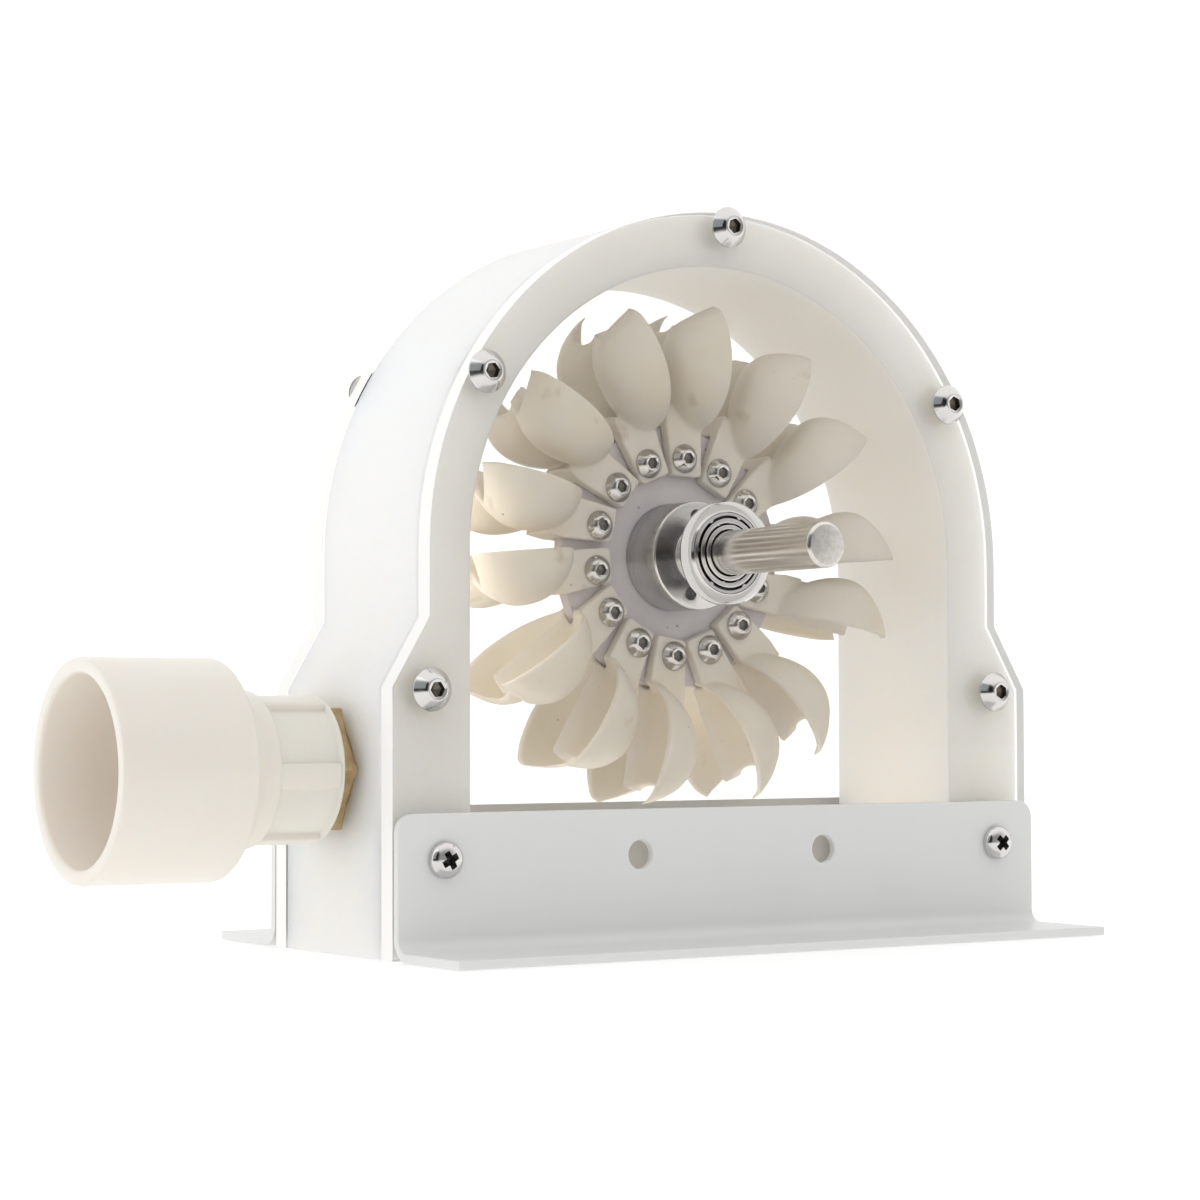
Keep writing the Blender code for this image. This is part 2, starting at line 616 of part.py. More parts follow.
def main():
    clear_scene()
    parts = make_collection("pelton_turbine")
    cutters = make_collection("cutters")
    looks = {
        "milky": make_material("milky_plastic", (0.86, 0.84, 0.80), 0.45),
        "clear": make_material("clear_acrylic", (0.93, 0.93, 0.91), 0.1, alpha=0.25),
        "painted": make_material("white_painted_steel", (0.85, 0.86, 0.85), 0.45),
        "brass": make_material("brass", (0.62, 0.48, 0.25), 0.35, 1.0),
        "plastic": make_material("cream_pipe_plastic", (0.90, 0.87, 0.78), 0.35),
        "steel": make_material("bright_steel", (0.62, 0.60, 0.58), 0.25, 1.0),
        "aluminium": make_material("turned_aluminium", (0.75, 0.75, 0.76), 0.3, 1.0),
        "disc": make_material("lavender_white_plastic", (0.78, 0.75, 0.78), 0.5),
        "resin": make_material("cream_resin", (0.84, 0.79, 0.70), 0.5),
    }
    root = bpy.data.objects.new("turbine_frame", None)
    root.location = FRAME_SHIFT
    parts.objects.link(root)
    runner = bpy.data.objects.new("runner_axis", None)
    runner.location = (0.0, RUNNER_Y, SHAFT_Z)
    runner.parent = root
    parts.objects.link(runner)
    build_housing(root, parts, cutters, looks)
    build_brackets(root, parts, cutters, looks)
    build_inlet(root, parts, cutters, looks)
    build_bearings(root, runner, parts, looks)
    build_shaft(runner, parts, looks)
    build_hub(runner, parts, cutters, looks)
    build_disc(runner, parts, looks)
    build_buckets(runner, parts, cutters, looks)


main()
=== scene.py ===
"""Looks of the table-top Pelton micro-turbine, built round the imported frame.

Shapes are drawn in millimetres in the part's design frame: X = 0 on the housing's middle, Y = 0
on the front panel's outer face, Z = 0 on the ground. TO_ROW carries them into the frame of the
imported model.
"""

import math
import random

import bmesh
import bpy
from mathutils import Matrix, Vector


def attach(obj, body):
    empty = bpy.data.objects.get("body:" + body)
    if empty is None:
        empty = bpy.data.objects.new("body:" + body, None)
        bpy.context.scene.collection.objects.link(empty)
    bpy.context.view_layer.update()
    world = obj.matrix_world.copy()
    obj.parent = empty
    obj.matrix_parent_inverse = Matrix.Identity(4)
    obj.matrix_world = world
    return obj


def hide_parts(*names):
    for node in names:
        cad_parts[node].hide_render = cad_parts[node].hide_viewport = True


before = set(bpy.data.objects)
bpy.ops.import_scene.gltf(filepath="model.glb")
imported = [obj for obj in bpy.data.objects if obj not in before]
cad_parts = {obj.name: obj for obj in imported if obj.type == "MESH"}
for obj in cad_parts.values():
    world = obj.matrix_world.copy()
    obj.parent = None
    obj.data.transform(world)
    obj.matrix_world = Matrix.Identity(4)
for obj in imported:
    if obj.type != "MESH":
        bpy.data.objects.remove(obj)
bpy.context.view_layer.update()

MM_PER_METRE = 1000
TO_ROW = Matrix.Scale(1 / MM_PER_METRE, 4) @ Matrix.Translation((29.35, -22.3, 0.0))

# housing
PANEL = 5.0
DEPTH = 53.0
GAP = 0.3
ARCH_Z = 86.5
ARCH_OUTER = 77.5
ARCH_INNER = 65.5
BASE_HALF = 86.5
SHOULDER_TOP = 72.0
SHOULDER_BOTTOM = 57.0
SHEET = 2.0
INLET_Z = 39.8

# shaft, bearings, hub and disc
RUNNER_Y = 27.0
SHAFT_Z = 87.4
SHAFT_R = 5.0
SHAFT_FRONT_Y = -35.7
SHAFT_BACK_Y = 56.0
BEARING_R = 11.0
BEARING_WIDTH = 6.0
HUB_R = 12.4
HUB_FRONT_Y = 14.0
BORE_R = 5.3
DISC_R = 30.0
DISC_HALF = 1.5

# buckets: each leans a little off its radial line, turned about its own screw
LEANS = (0.5, -3.8, 0.0, -2.0, 5.0, -6.3, 7.4, -1.2, 7.0, 0.8, -1.5, 4.3, -4.4, -6.8)
FIRST_ANGLE = math.radians(-21.8)
SCREW_U = 22.8
LUG_HALF = 5.0

# screw heads: radius, height and, where there is one, the width of the hexagon socket
PANEL_HEAD = (4.65, 2.75, 3.0)
RUNNER_HEAD = (3.4, 2.0, 2.4)
BRACKET_HEAD = (4.0, 2.7)

# places of the screws, as X and Z
PANEL_SCREWS = ((0.0, 160.8), (-63.5, 124.3), (63.5, 124.3), (-77.1, 56.5), (77.1, 56.5))
BRACKET_SCREWS = ((-75.3, 20.9), (75.3, 20.9))

# directions in the room: straight up, towards the photographer, and towards the dark room beside
UPWARD = (0.0, 0.0, 1.0)
TO_PHOTOGRAPHER = (-0.34, -0.94, 0.05)
TO_DARK_ROOM = (-0.776, -0.582, 0.243)
TO_DARK_FLOOR = (-0.80, -0.60, 0.0)

AXIS_Y = Matrix.Rotation(math.pi / 2, 4, "X")
AXIS_X = Matrix.Rotation(-math.pi / 2, 4, "Y")
WHITE = (1.0, 1.0, 1.0)


def link(item):
    bpy.context.scene.collection.objects.link(item)
    return item


def add_piece(name, bm, looks, body, replaced=(), angle=35):
    """A piece from bmesh geometry in design millimetres, with its material and its body."""
    mesh = bpy.data.meshes.new(name)
    bm.to_mesh(mesh)
    bm.free()
    return add_mesh_piece(name, mesh, looks, body, replaced, angle)


def add_mesh_piece(name, mesh, looks, body, replaced=(), angle=35):
    """The same from a finished mesh."""
    mesh.transform(TO_ROW)
    mesh.shade_smooth()
    mesh.set_sharp_from_angle(angle=math.radians(angle))
    item = link(bpy.data.objects.new(name, mesh))
    for look in looks if isinstance(looks, (list, tuple)) else [looks]:
        mesh.materials.append(look)
    if replaced:
        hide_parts(*replaced)
    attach(item, body)
    return item


def soften(item, width, segments=2):
    """Small rounded edges; large faces stay flat in the shading."""
    bevel = item.modifiers.new("edges", "BEVEL")
    bevel.width = width / MM_PER_METRE
    bevel.segments = segments
    bevel.limit_method = "ANGLE"
    bevel.angle_limit = math.radians(40)
    normals = item.modifiers.new("normals", "WEIGHTED_NORMAL")
    normals.keep_sharp = True


def evaluated_copy(item):
    bpy.context.view_layer.update()
    graph = bpy.context.evaluated_depsgraph_get()
    return bpy.data.meshes.new_from_object(item.evaluated_get(graph))


def boolean(item, other, operation, crossing=False):
    """Joins or cuts; crossing says that the other one runs through itself."""
    cutter = item.modifiers.new("boolean", "BOOLEAN")
    cutter.operation = operation
    cutter.solver = "EXACT"
    cutter.use_self = crossing
    cutter.object = other


def temporary(name, bm):
    mesh = bpy.data.meshes.new(name)
    bm.to_mesh(mesh)
    bm.free()
    return link(bpy.data.objects.new(name, mesh))


def remove(*items):
    for item in items:
        bpy.data.objects.remove(item, do_unlink=True)


def arc(centre_x, centre_z, radius, start, end, steps):
    angles = [start + (end - start) * k / steps for k in range(steps + 1)]
    return [(centre_x + radius * math.cos(angle), centre_z + radius * math.sin(angle))
            for angle in angles]


def rounded(profile, radius, segments=3, closed=True):
    """The profile with each corner turned into a small curve."""
    count = len(profile)
    points = []
    for k, (x, z) in enumerate(profile):
        if not closed and k in (0, count - 1):
            points.append((x, z))
            continue
        here = Vector((x, z))
        before = Vector(profile[k - 1]) - here
        after = Vector(profile[(k + 1) % count]) - here
        shortest = min(before.length, after.length)
        if shortest < 1e-6 or before.angle(after) > math.radians(165):
            points.append((x, z))
            continue
        reach_before = min(radius, before.length * 0.45)
        reach_after = min(radius, after.length * 0.45)
        first = here + before.normalized() * reach_before
        last = here + after.normalized() * reach_after
        for step in range(segments + 1):
            t = step / segments
            point = first * (1 - t) ** 2 + here * 2 * t * (1 - t) + last * t ** 2
            points.append((point.x, point.y))
    return points


def bridge(bm, lower, upper):
    """A closed strip of faces between two rings of corners."""
    count = len(lower)
    faces = []
    for k in range(count):
        after = (k + 1) % count
        faces.append(bm.faces.new((lower[k], lower[after], upper[after], upper[k])))
    return faces


def close_prism(bm, ends):
    """The two end faces and the sides between two matching loops of corners."""
    bm.faces.new(ends[0])
    bm.faces.new(ends[1])
    bridge(bm, ends[0], ends[1])
    bmesh.ops.recalc_face_normals(bm, faces=bm.faces)


def lathe(bm, profile, steps, place, closed=True):
    """Profile points (radius, height) turned about local Z, then placed. Radius 0 is a pole."""
    rings = []
    for radius, height in profile:
        if radius < 1e-6:
            rings.append([bm.verts.new(place @ Vector((0.0, 0.0, height)))])
            continue
        ring = []
        for k in range(steps):
            angle = 2 * math.pi * k / steps
            spot = Vector((radius * math.cos(angle), radius * math.sin(angle), height))
            ring.append(bm.verts.new(place @ spot))
        rings.append(ring)
    pairs = list(zip(rings, rings[1:]))
    if closed:
        pairs.append((rings[-1], rings[0]))
    for lower, upper in pairs:
        if len(lower) > 1 and len(upper) > 1:
            bridge(bm, lower, upper)
            continue
        for k in range(steps):
            after = (k + 1) % steps
            if len(upper) > 1:
                bm.faces.new((lower[0], upper[after], upper[k]))
            elif len(lower) > 1:
                bm.faces.new((lower[k], lower[after], upper[0]))
    bmesh.ops.recalc_face_normals(bm, faces=bm.faces)


def place_y(y, z=SHAFT_Z, x=0.0):
    """Local Z points to -Y."""
    return Matrix.Translation((x, y, z)) @ AXIS_Y


def plate(loops, low_y, high_y):
    """Flat polygons in X and Z that share corners, given a thickness along Y."""
    bm = bmesh.new()
    corners = {}
    faces = []
    for loop in loops:
        verts = []
        for x, z in loop:
            key = (round(x, 4), round(z, 4))
            if key not in corners:
                corners[key] = bm.verts.new((x, low_y, z))
            verts.append(corners[key])
        faces.append(bm.faces.new(verts))
    grown = bmesh.ops.extrude_face_region(bm, geom=faces, use_keep_orig=True)
    moved = [part for part in grown["geom"] if isinstance(part, bmesh.types.BMVert)]
    bmesh.ops.translate(bm, verts=moved, vec=(0.0, high_y - low_y, 0.0))
    bmesh.ops.recalc_face_normals(bm, faces=bm.faces)
    return bm


def map_range(tree, value, numbers, interpolation="SMOOTHSTEP"):
    """The numbers are the value's low and high end, then what these two become."""
    made = tree.nodes.new("ShaderNodeMapRange")
    made.interpolation_type = interpolation
    for socket, number in zip(("From Min", "From Max", "To Min", "To Max"), numbers):
        made.inputs[socket].default_value = number
    tree.links.new(value, made.inputs["Value"])
    return made.outputs["Result"]


def towards(tree, direction, target):
    """How closely a direction points to a target, 1 at the target itself."""
    made = tree.nodes.new("ShaderNodeVectorMath")
    made.operation = "DOT_PRODUCT"
    made.inputs[1].default_value = target
    tree.links.new(direction, made.inputs[0])
    return made.outputs["Value"]


def feed(tree, socket, value):
    """Sets a number on a socket, or links an output to it."""
    if isinstance(value, float):
        socket.default_value = value
    else:
        tree.links.new(value, socket)


def calculate(tree, operation, first, second):
    made = tree.nodes.new("ShaderNodeMath")
    made.operation = operation
    feed(tree, made.inputs[0], first)
    feed(tree, made.inputs[1], second)
    return made.outputs[0]


def blend(tree, factor, first, second):
    """The first value where the factor is 0, the second where it is 1."""
    made = tree.nodes.new("ShaderNodeMix")
    feed(tree, made.inputs[0], factor)
    feed(tree, made.inputs[2], first)
    feed(tree, made.inputs[3], second)
    return made.outputs[0]


class Look:
    """A material under construction: a Principled shader and short calls for its nodes."""

    def __init__(self, name, colour, roughness, metallic=0.0, **sockets):
        self.material = bpy.data.materials.new(name)
        self.material.use_nodes = True
        self.tree = self.material.node_tree
        self.shader = self.tree.nodes["Principled BSDF"]
        self.set("Base Color", (*colour, 1.0))
        self.set("Roughness", roughness)
        self.set("Metallic", metallic)
        for socket, value in sockets.items():
            self.set(socket.replace("_", " "), value)
        self.colour = None

    def set(self, socket, value):
        self.shader.inputs[socket].default_value = value

    def node(self, kind, **values):
        made = self.tree.nodes.new(kind)
        for key, value in values.items():
            if hasattr(made, key):
                setattr(made, key, value)
            else:
                made.inputs[key.replace("_", " ")].default_value = value
        return made

    def wire(self, source, target):
        self.tree.links.new(source, target)

    def coordinates(self, scale=(1.0, 1.0, 1.0)):
        """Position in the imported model's frame times a scale, so noise sizes are real ones."""
        place = self.node("ShaderNodeTexCoord")
        mapping = self.node("ShaderNodeMapping")
        mapping.inputs["Scale"].default_value = scale
        self.wire(place.outputs["Object"], mapping.inputs["Vector"])
        return mapping.outputs["Vector"]

    def noise(self, scale, detail, stretch=(1.0, 1.0, 1.0), roughness=0.5):
        texture = self.node("ShaderNodeTexNoise", Scale=scale, Detail=detail, Roughness=roughness)
        self.wire(self.coordinates(stretch), texture.inputs["Vector"])
        return texture.outputs["Fac"]

    def ramp(self, value, low, high, start=0.0, end=1.0):
        return map_range(self.tree, value, (low, high, start, end), "LINEAR")

    def tint(self, factor, colour):
        """Blends the base colour towards another one by a factor output."""
        mix = self.node("ShaderNodeMix", data_type="RGBA")
        colours = [socket for socket in mix.inputs if socket.type == "RGBA"]
        if self.colour is None:
            colours[0].default_value = self.shader.inputs["Base Color"].default_value
        else:
            self.wire(self.colour, colours[0])
        colours[1].default_value = (*colour, 1.0)
        self.wire(factor, mix.inputs[0])
        self.colour = [socket for socket in mix.outputs if socket.type == "RGBA"][0]
        self.wire(self.colour, self.shader.inputs["Base Color"])

    def bump(self, height, distance, strength):
        """Relief of this depth in millimetres on the normal."""
        made = self.node("ShaderNodeBump", Strength=strength)
        made.inputs["Distance"].default_value = distance / MM_PER_METRE
        self.wire(height, made.inputs["Height"])
        self.wire(made.outputs["Normal"], self.shader.inputs["Normal"])

    def rough(self, value):
        self.wire(value, self.shader.inputs["Roughness"])

    def specks(self, scale, size, colour, share, strength):
        """Scattered small dots: Voronoi cells, only some of which carry a dot."""
        cells = self.node("ShaderNodeTexVoronoi", Scale=scale)
        self.wire(self.coordinates(), cells.inputs["Vector"])
        dot = self.ramp(cells.outputs["Distance"], size * 0.5, size, strength, 0.0)
        split = self.node("ShaderNodeSeparateColor")
        self.wire(cells.outputs["Color"], split.inputs["Color"])
        chosen = calculate(self.tree, "GREATER_THAN", split.outputs[0], 1 - share)
        self.tint(calculate(self.tree, "MULTIPLY", dot, chosen), colour)


def make_looks():
    looks = {}
    milky = Look("milky_plastic_look", (0.945, 0.94, 0.925), 0.38, Subsurface_Weight=0.8,
                 Subsurface_Scale=0.02)
    milky.set("Subsurface Radius", (1.0, 0.85, 0.65))
    milky.tint(milky.ramp(milky.noise(22, 4, (1, 0.25, 1)), 0.3, 0.7), (0.895, 0.875, 0.84))
    milky.bump(milky.noise(900, 2), 0.03, 0.4)
    looks["milky"] = milky.material
    # the wall's inner side gets a copy with a faint painted glow (emission), standing in for the
    # daylight that the milky plastic lets through
    lit = milky.material.copy()
    lit.name = "milky_plastic_painted_glow_look"
    shader = lit.node_tree.nodes["Principled BSDF"]
    shader.inputs["Emission Color"].default_value = (1.0, 0.94, 0.86, 1.0)
    shader.inputs["Emission Strength"].default_value = 0.09
    looks["milky_lit"] = lit

    # most of the light passes through the clear sheet, so its shadow is faint
    passed = 0.92
    clear = Look("clear_acrylic_look", (1.0, 0.987, 0.965), 0.015, Transmission_Weight=1.0,
                 IOR=1.49)
    path = clear.node("ShaderNodeLightPath")
    opaque = clear.node("ShaderNodeMath", operation="MULTIPLY_ADD")
    opaque.inputs[1].default_value = -passed
    opaque.inputs[2].default_value = 1.0
    clear.wire(path.outputs["Is Shadow Ray"], opaque.inputs[0])
    clear.wire(opaque.outputs[0], clear.shader.inputs["Alpha"])
    clear.bump(clear.noise(30, 2), 0.02, 0.2)
    looks["clear"] = clear.material

    # the sawn edges glow with painted light (emission), standing in for light that is gathered in
    # the clear sheet and leaves by its sawn edges
    sawn = Look("sawn_acrylic_edge_painted_glow_look", (0.55, 0.545, 0.53), 0.45, Emission_Strength=0.42)
    sawn.set("Emission Color", (1.0, 0.99, 0.97, 1.0))
    sawn.bump(sawn.noise(500, 3, (1, 0.05, 1)), 0.03, 0.5)
    looks["sawn"] = sawn.material

    painted = Look("white_paint_look", (0.815, 0.82, 0.805), 0.38, Coat_Weight=0.25,
                   Coat_Roughness=0.25)
    painted.bump(painted.noise(1400, 3), 0.02, 0.35)
    painted.tint(painted.ramp(painted.noise(35, 3), 0.55, 0.8, 0.0, 0.5), (0.77, 0.775, 0.76))
    looks["painted"] = painted.material

    plastic = Look("pipe_plastic_look", (0.89, 0.85, 0.77), 0.3, Subsurface_Weight=0.2,
                   Subsurface_Scale=0.006)
    plastic.tint(plastic.ramp(plastic.noise(25, 4), 0.45, 0.8, 0.0, 0.6), (0.85, 0.80, 0.72))
    plastic.bump(plastic.noise(700, 2), 0.02, 0.3)
    looks["plastic"] = plastic.material

    brass = Look("dull_brass_look", (0.62, 0.46, 0.27), 0.36, 1.0)
    brass.tint(brass.ramp(brass.noise(260, 4), 0.4, 0.75), (0.40, 0.28, 0.15))
    brass.bump(brass.noise(900, 3), 0.04, 0.5)
    looks["brass"] = brass.material

    chrome = Look("polished_steel_look", (0.72, 0.70, 0.68), 0.12, 1.0)
    chrome.rough(chrome.ramp(chrome.noise(900, 3), 0.3, 0.8, 0.08, 0.2))
    looks["chrome"] = chrome.material

    # dark metal: painted shade inside the hexagon sockets
    dark = Look("screw_socket_painted_shade_look", (0.20, 0.175, 0.145), 0.4, 1.0)
    dark.bump(dark.noise(1500, 2), 0.02, 0.5)
    looks["dark"] = dark.material

    # near black: painted shade for gaps and recesses, on the bearing shields' deep faces and in the
    # cross recesses
    gap = Look("painted_shade_gap_look", (0.025, 0.023, 0.02), 0.4)
    gap.bump(gap.noise(1200, 2), 0.02, 0.4)
    looks["gap"] = gap.material

    steel = Look("ground_steel_look", (0.78, 0.745, 0.70), 0.27, 1.0, Anisotropic=0.5)
    lines = steel.noise(1.0, 4, (2500, 60, 2500), 0.6)
    wide_lines = steel.noise(1.0, 2, (900, 25, 900))
    steel.rough(steel.ramp(lines, 0.3, 0.8, 0.2, 0.3))
    steel.tint(steel.ramp(wide_lines, 0.4, 0.7, 0.0, 0.4), (0.50, 0.475, 0.44))
    steel.bump(lines, 0.006, 0.2)
    looks["steel"] = steel.material

    aluminium = Look("turned_aluminium_look", (0.84, 0.835, 0.83), 0.25, 1.0, Anisotropic=0.6)
    rings = aluminium.noise(1.0, 4, (60, 2500, 60), 0.6)
    aluminium.rough(aluminium.ramp(rings, 0.3, 0.8, 0.18, 0.34))
    aluminium.bump(rings, 0.012, 0.35)
    looks["aluminium"] = aluminium.material

    disc = Look("disc_plastic_look", (0.70, 0.66, 0.68), 0.45)
    disc.tint(disc.ramp(disc.noise(120, 4), 0.4, 0.8), (0.63, 0.59, 0.61))
    disc.specks(380, 0.16, (0.30, 0.25, 0.25), 0.2, 0.85)
    disc.bump(disc.noise(1300, 3), 0.03, 0.5)
    looks["disc"] = disc.material

    resin = Look("cast_resin_look", (0.86, 0.80, 0.705), 0.42, Subsurface_Weight=0.3,
                 Subsurface_Scale=0.006)
    resin.set("Subsurface Radius", (1.0, 0.8, 0.6))
    resin.tint(resin.ramp(resin.noise(70, 4), 0.4, 0.8), (0.81, 0.75, 0.66))
    resin.tint(resin.ramp(resin.noise(45, 3), 0.52, 0.75, 0.0, 0.6), (0.84, 0.72, 0.56))
    resin.tint(resin.ramp(resin.noise(110, 4), 0.66, 0.78, 0.0, 0.55), (0.52, 0.42, 0.32))
    resin.specks(240, 0.09, (0.25, 0.20, 0.15), 0.16, 0.85)
    resin.specks(700, 0.12, (0.40, 0.33, 0.26), 0.05, 0.7)
    resin.bump(resin.noise(420, 3), 0.03, 0.35)
    looks["resin"] = resin.material
    return looks


def housing_outline():
    right = [(BASE_HALF, 0.0), (BASE_HALF, SHOULDER_BOTTOM), (ARCH_OUTER, SHOULDER_TOP)]
    top = arc(0.0, ARCH_Z, ARCH_OUTER, 0.0, math.pi, 120)
    return right + top + [(-x, z) for x, z in reversed(right)]


def build_band(looks):
    inner = arc(0.0, ARCH_Z, ARCH_INNER, math.pi, 0.0, 110)
    outline = housing_outline() + [(-ARCH_INNER, 0.0)] + inner + [(ARCH_INNER, 0.0)]
    bm = plate([outline], PANEL + GAP, DEPTH - PANEL - GAP)
    # faces of the inner wall take the copy with the painted glow
    for face in bm.faces:
        spot = face.calc_center_median()
        reach = math.hypot(spot.x, max(0.0, spot.z - ARCH_Z))
        inside = abs(face.normal.y) < 0.5 and reach < ARCH_INNER + 1 and spot.z > 1
        face.material_index = 1 if inside else 0
    band = add_piece("housing_band_moulding", bm, [looks["milky"], looks["milky_lit"]], "housing",
                     ["housing_band"])
    soften(band, 0.5)


def panel_loops():
    """Left and right halves of the panel's outline round its bearing seat."""
    outline = housing_outline()
    top = len(outline) // 2
    seat = arc(0.0, SHAFT_Z, BEARING_R + GAP, math.pi / 2, math.pi * 1.5, 40)
    right = [(0.0, 0.0)] + outline[:top + 1] + [(-x, z) for x, z in seat]
    left = [(-x, z) for x, z in right]
    return [right, left]


def build_panels(looks):
    for name, low in (("front_panel", 0.0), ("back_panel", DEPTH - PANEL)):
        bm = plate(panel_loops(), low, low + PANEL)
        # the sawn edges take the look with the painted glow
        for face in bm.faces:
            face.material_index = 0 if abs(face.normal.y) > 0.5 else 1
        panel = add_piece(name + "_sheet", bm, [looks["clear"], looks["sawn"]], "housing",
                          [name])
        soften(panel, 0.3)


def build_brackets(looks):
    """Feet of bent sheet: upright, bend and flange, with rounded upper corners and two holes."""
    high, flange, bend, corner = 30.7, 27.0, 3.0, 4.0
    hole_places, hole_z, hole_r, reach = (-25.9, 24.1), 20.7, 3.15, 9.0
    section = [(flange, 0.0)]
    section += arc(SHEET + bend, SHEET + bend, SHEET + bend, -math.pi / 2, -math.pi, 12)
    section += [(0.0, high), (SHEET, high)]
    section += arc(SHEET + bend, SHEET + bend, bend, math.pi, math.pi * 1.5, 12)
    section += [(flange, SHEET)]
    for name, side, face_y in (("front_bracket", -1, -GAP), ("back_bracket", 1, DEPTH + GAP)):
        bm = bmesh.new()
        close_prism(bm, [[bm.verts.new((x, face_y + side * depth, z)) for depth, z in section]
                         for x in (-BASE_HALF, BASE_HALF)])
        corners = [edge for edge in bm.edges
                   if all(abs(vert.co.z - high) < 1e-4 for vert in edge.verts)
                   and abs(edge.verts[0].co.x - edge.verts[1].co.x) < 1e-4]
        bmesh.ops.bevel(bm, geom=corners, offset=corner, segments=10, profile=0.5, affect="EDGES")
        block = temporary("bracket_block", bm)
        bm = bmesh.new()
        for x in hole_places:
            lathe(bm, [(0.0, -reach), (hole_r, -reach), (hole_r, reach), (0.0, reach)], 48,
                  place_y(face_y, hole_z, x), False)
        drill = temporary("bracket_drill", bm)
        boolean(block, drill, "DIFFERENCE")
        mesh = evaluated_copy(block)
        remove(block, drill)
        bracket = add_mesh_piece(name + "_bent_sheet", mesh, looks["painted"], "housing",
                                 [name])
        soften(bracket, 0.35, 3)


def build_adapter(looks):
    """Socket, shoulder, flange and ribbed collar as one skin of rings."""
    ribs, rib_r, collar_r, slope, free_steps = 5, 16.1, 14.7, 0.9, 14
    half = math.degrees(math.asin(2.65 / rib_r))
    across = ((-half - slope, 0), (-half - 0.3, 0.15), (-half, 0.85), (-half + 0.8, 1),
              (-half / 2, 1), (0, 1), (half / 2, 1), (half - 0.8, 1), (half, 0.85),
              (half + 0.3, 0.15), (half + slope, 0))
    free = 360.0 / ribs - 2 * half - 2 * slope
    angles = []
    for rib in range(ribs):
        middle = 270.0 + 360.0 * rib / ribs
        angles += [(middle + offset, raised) for offset, raised in across]
        angles += [(middle + half + slope + free * step / free_steps, 0)
                   for step in range(1, free_steps)]
    socket = [(-119.2, 10.8), (-119.2, 19.4), (-119.6, 19.9), (-120.0, 20.0), (-132.0, 20.05),
              (-144.2, 20.1), (-144.9, 20.35), (-145.2, 20.8), (-145.2, 22.9), (-145.0, 23.3),
              (-144.4, 23.5), (-130.0, 23.5), (-116.2, 23.5), (-115.5, 23.35), (-115.0, 22.9),
              (-114.8, 22.3), (-112.2, 18.2), (-111.5, 17.3), (-110.9, 16.85), (-110.2, 16.8),
              (-107.7, 16.8), (-107.0, 16.6), (-106.5, 16.2)]
    collar = [(-106.4, 14.9), (-106.0, 14.7), (-93.0, 14.7), (-92.6, 14.9)]
    ending = [(-92.35, 15.7), (-92.1, 16.0), (-91.75, 16.0), (-91.55, 15.8), (-91.5, 15.4),
              (-91.5, 10.8)]
    place = Matrix.Translation((0.0, RUNNER_Y, INLET_Z))
    turn = math.radians(4.7)
    bm = bmesh.new()
    rings = []
    for group, ribbed in ((socket, False), (collar, True), (ending, False)):
        for x, radius in group:
            ring = []
            for degrees, raised in angles:
                reach = radius
                if ribbed:
                    reach = max(radius, collar_r + (rib_r - collar_r) * raised)
                angle = math.radians(degrees) - turn + math.pi / 2
                spot = Vector((x, -reach * math.cos(angle), reach * math.sin(angle)))
                ring.append(bm.verts.new(place @ spot))
            rings.append(ring)
    for lower, upper in zip(rings, rings[1:] + rings[:1]):
        bridge(bm, lower, upper)
    bmesh.ops.recalc_face_normals(bm, faces=bm.faces)
    add_piece("inlet_adapter_moulding", bm, looks["plastic"], "housing",
              ["inlet_adapter"], 50)


def build_nozzle(looks):
    """Turned stem with a jet hole, and a hexagon whose sides are a little hollow."""
    corner_r, hollow, side_steps, hexagon_ends = 15.05, 0.07, 8, (87.8, 91.3)
    place = Matrix.Translation((0.0, RUNNER_Y, INLET_Z)) @ AXIS_X
    bm = bmesh.new()
    profile = rounded([(7.0, 104.0), (10.4, 104.0), (10.4, 64.0), (7.5, 58.0), (4.5, 58.0),
                       (4.5, 62.0), (7.0, 69.5)], 0.4)
    lathe(bm, profile, 64, place)
    rim = []
    for side in range(6):
        angles = (math.pi / 6 + math.pi / 3 * side, math.pi / 2 + math.pi / 3 * side)
        first, last = (Vector((corner_r * math.cos(a), corner_r * math.sin(a))) for a in angles)
        for step in range(side_steps):
            t = step / side_steps
            rim.append(first.lerp(last, t) * (1 - hollow * (1 - (2 * t - 1) ** 2)))
    caps = [[bm.verts.new(place @ Vector((point.x, point.y, height))) for point in rim]
            for height in hexagon_ends]
    bridge(bm, caps[0], caps[1])
    bm.faces.new(caps[0][::-1])
    bm.faces.new(caps[1])
    nozzle = add_piece("inlet_nozzle_turning", bm, looks["brass"], "housing",
                       ["inlet_nozzle"])
    soften(nozzle, 0.35)


def build_shaft(looks):
    length = SHAFT_BACK_Y - SHAFT_FRONT_Y
    chamfer, end_r = 0.6, 4.4
    bm = bmesh.new()
    profile = rounded([(0.0, 0.0), (end_r, 0.0), (SHAFT_R, chamfer), (SHAFT_R, length - chamfer),
                       (end_r, length), (0.0, length)], 0.12, 2, False)
    lathe(bm, profile, 96, place_y(SHAFT_BACK_Y), False)
    add_piece("shaft_ground_bar", bm, looks["steel"], "runner", ["shaft"])


def bearing_ring(looks, name, place, flip, profile, body, replaced=()):
    """Profile points are radius and depth below the panel's outer face at this place."""
    bm = bmesh.new()
    lathe(bm, [(radius, -depth * flip) for radius, depth in profile], 96, place_y(place))
    for face in bm.faces:
        # the shields' deep faces take the near-black painted shade
        deep = abs(face.calc_center_median().y - place) > 1.2
        face.material_index = 1 if deep and "_shield" in name else 0
    add_piece(name, bm, [looks["chrome"], looks["gap"]], body, replaced)


